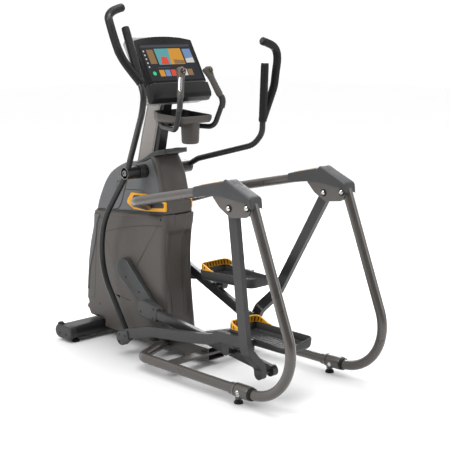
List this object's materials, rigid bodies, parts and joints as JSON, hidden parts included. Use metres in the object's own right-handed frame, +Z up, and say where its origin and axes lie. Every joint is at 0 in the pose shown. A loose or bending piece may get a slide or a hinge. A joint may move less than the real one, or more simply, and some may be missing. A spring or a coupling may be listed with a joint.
{
  "type": "elliptical trainer",
  "caption": "Rear-suspended elliptical trainer with bent tube frame, hanging pedal arms, moving handles, faired drive and tilted console.",
  "frame": {"origin": "on the floor, under the middle of the overall bounding box", "axes": "+X to the user's right across the machine, +Y forwards from the rear legs to the console and flywheel end, +Z up"},
  "size_m": [0.84, 1.8684, 1.891],
  "materials": {
    "frame_paint": "satin metallic taupe powder coat",
    "black_paint": "satin black powder coat",
    "charcoal_paint": "satin charcoal powder coat",
    "chassis_paint": "matt black paint",
    "bright_steel": "bright zinc plated steel",
    "machined_steel": "machined steel",
    "shell_taupe": "fine textured taupe moulding",
    "shell_grey": "fine textured cool grey moulding",
    "dark_plastic": "fine textured near black moulding",
    "pedal_plastic": "textured dark grey moulding",
    "accent_yellow": "golden yellow moulding",
    "console_black": "gloss black bezel",
    "console_grey": "light grey moulding",
    "screen_glass": "dark display glass",
    "grip_rubber": "soft textured black grip",
    "soft_rubber": "black rubber",
    "chrome_trim": "polished sensor strip",
    "belt_rubber": "ribbed belt"
  },
  "bodies": {
    "frame": {"base_frame": "frame_paint", "front_stabilizer": "black_paint", "stabilizer_end_caps": "dark_plastic", "lower_rails": "frame_paint", "top_rails": "frame_paint", "rear_loops": "frame_paint", "loop_gaskets": "soft_rubber", "bracket_plates": "frame_paint", "frame_bolts": "bright_steel", "bracket_covers": "dark_plastic", "bracket_end_caps": "dark_plastic", "accent_trims": "accent_yellow", "chassis": "chassis_paint", "mast_tube": "black_paint", "mast_side_plates": "shell_taupe", "lower_shroud_left": "shell_taupe", "lower_shroud_right": "shell_taupe", "rear_channel_cover": "shell_taupe", "front_panel": "shell_grey", "upper_shroud_left": "shell_grey", "upper_shroud_right": "shell_grey", "spine_cover": "shell_taupe", "top_cap": "dark_plastic", "console_housing": "console_black", "console_back": "console_grey", "screen": "screen_glass", "accessory_tray": "shell_taupe", "bottle_holder": "shell_taupe", "grip_tubes": "black_paint", "grip_sleeves": "shell_taupe", "sensor_strips": "chrome_trim", "drive_belt": "belt_rubber", "brake_magnet": "chassis_paint", "crank_bearings": "machined_steel", "levelling_feet": "soft_rubber"},
    "crank": {"crank_axle": "machined_steel", "drive_pulley": "dark_plastic", "crank_arms": "black_paint", "crank_covers": "dark_plastic"},
    "flywheel": {"flywheel": "machined_steel"},
    "link_left": {"link_left": "charcoal_paint", "link_cover_left": "dark_plastic"},
    "pedal_left": {"pedal_arm_left": "charcoal_paint", "pedal_tray_left": "pedal_plastic", "toe_guard_left": "accent_yellow"},
    "swing_left": {"swing_arm_left": "charcoal_paint"},
    "handle_left": {"handle_arm_left": "black_paint", "handle_grips_left": "grip_rubber"},
    "transport_wheel_left": {"transport_wheel_left": "soft_rubber"},
    "thumb_key_left": {"thumb_key_left": "soft_rubber"},
    "link_right": {"link_right": "charcoal_paint", "link_cover_right": "dark_plastic"},
    "pedal_right": {"pedal_arm_right": "charcoal_paint", "pedal_tray_right": "pedal_plastic", "toe_guard_right": "accent_yellow"},
    "swing_right": {"swing_arm_right": "charcoal_paint"},
    "handle_right": {"handle_arm_right": "black_paint", "handle_grips_right": "grip_rubber"},
    "transport_wheel_right": {"transport_wheel_right": "soft_rubber"},
    "thumb_key_right": {"thumb_key_right": "soft_rubber"}
  },
  "joints": [
    {"name": "crank_turn", "type": "hinge", "parent": "frame", "child": "crank", "pos_m": [0, 0.54, 0.443], "axis": [1, 0, 0], "range_deg": [0, 60]},
    {"name": "flywheel_spin", "type": "hinge", "parent": "frame", "child": "flywheel", "pos_m": [0, 0.375, 0.25], "axis": [1, 0, 0], "continuous": true},
    {"name": "link_left_pivot", "type": "hinge", "parent": "crank", "child": "link_left", "pos_m": [0, 0.31699, 0.26877], "axis": [1, 0, 0], "range_deg": [-66.87, 0]},
    {"name": "pedal_left_pivot", "type": "hinge", "parent": "link_left", "child": "pedal_left", "pos_m": [0, -0.37009, 0.19731], "axis": [1, 0, 0], "range_deg": [0, 11.67]},
    {"name": "swing_left_pivot", "type": "hinge", "parent": "frame", "child": "swing_left", "pos_m": [0, -0.53, 0.948], "axis": [1, 0, 0], "range_deg": [0, 18.01]},
    {"name": "handle_left_pivot", "type": "hinge", "parent": "frame", "child": "handle_left", "pos_m": [0, 0.402, 1.004], "axis": [1, 0, 0], "range_deg": [0, 17.02]},
    {"name": "link_right_pivot", "type": "hinge", "parent": "crank", "child": "link_right", "pos_m": [0, 0.76301, 0.61723], "axis": [1, 0, 0], "range_deg": [-47.73, 0]},
    {"name": "pedal_right_pivot", "type": "hinge", "parent": "link_right", "child": "pedal_right", "pos_m": [0, 0.11842, 0.36883], "axis": [1, 0, 0], "range_deg": [-17.95, 0]},
    {"name": "swing_right_pivot", "type": "hinge", "parent": "frame", "child": "swing_right", "pos_m": [0, -0.53, 0.948], "axis": [1, 0, 0], "range_deg": [-12.67, 0]},
    {"name": "handle_right_pivot", "type": "hinge", "parent": "frame", "child": "handle_right", "pos_m": [0, 0.402, 1.004], "axis": [1, 0, 0], "range_deg": [-14.87, 0]},
    {"name": "transport_wheel_left_spin", "type": "hinge", "parent": "frame", "child": "transport_wheel_left", "pos_m": [-0.32, 0.892, 0.082], "axis": [1, 0, 0], "continuous": true},
    {"name": "thumb_key_left_press", "type": "slide", "parent": "frame", "child": "thumb_key_left", "axis": [-0.3216, -0.3058, -0.8962], "range_m": [0, 0.002], "stiffness_N_per_m": 600, "springref_m": -0.0005},
    {"name": "transport_wheel_right_spin", "type": "hinge", "parent": "frame", "child": "transport_wheel_right", "pos_m": [0.32, 0.892, 0.082], "axis": [1, 0, 0], "continuous": true},
    {"name": "thumb_key_right_press", "type": "slide", "parent": "frame", "child": "thumb_key_right", "axis": [0.3216, -0.3058, -0.8962], "range_m": [0, 0.002], "stiffness_N_per_m": 600, "springref_m": -0.0005}
  ],
  "couplings": [
    {"joint": "flywheel_spin", "follows": "crank_turn", "ratio": 6.6},
    {"joint": "link_left_pivot", "follows": "crank_turn", "ratio": -1.1144},
    {"joint": "pedal_left_pivot", "follows": "crank_turn", "ratio": 0.19452},
    {"joint": "swing_left_pivot", "follows": "crank_turn", "ratio": 0.30019},
    {"joint": "handle_left_pivot", "follows": "crank_turn", "ratio": 0.28369},
    {"joint": "link_right_pivot", "follows": "crank_turn", "ratio": -0.79546},
    {"joint": "pedal_right_pivot", "follows": "crank_turn", "ratio": -0.29909},
    {"joint": "swing_right_pivot", "follows": "crank_turn", "ratio": -0.21121},
    {"joint": "handle_right_pivot", "follows": "crank_turn", "ratio": -0.2478}
  ]
}
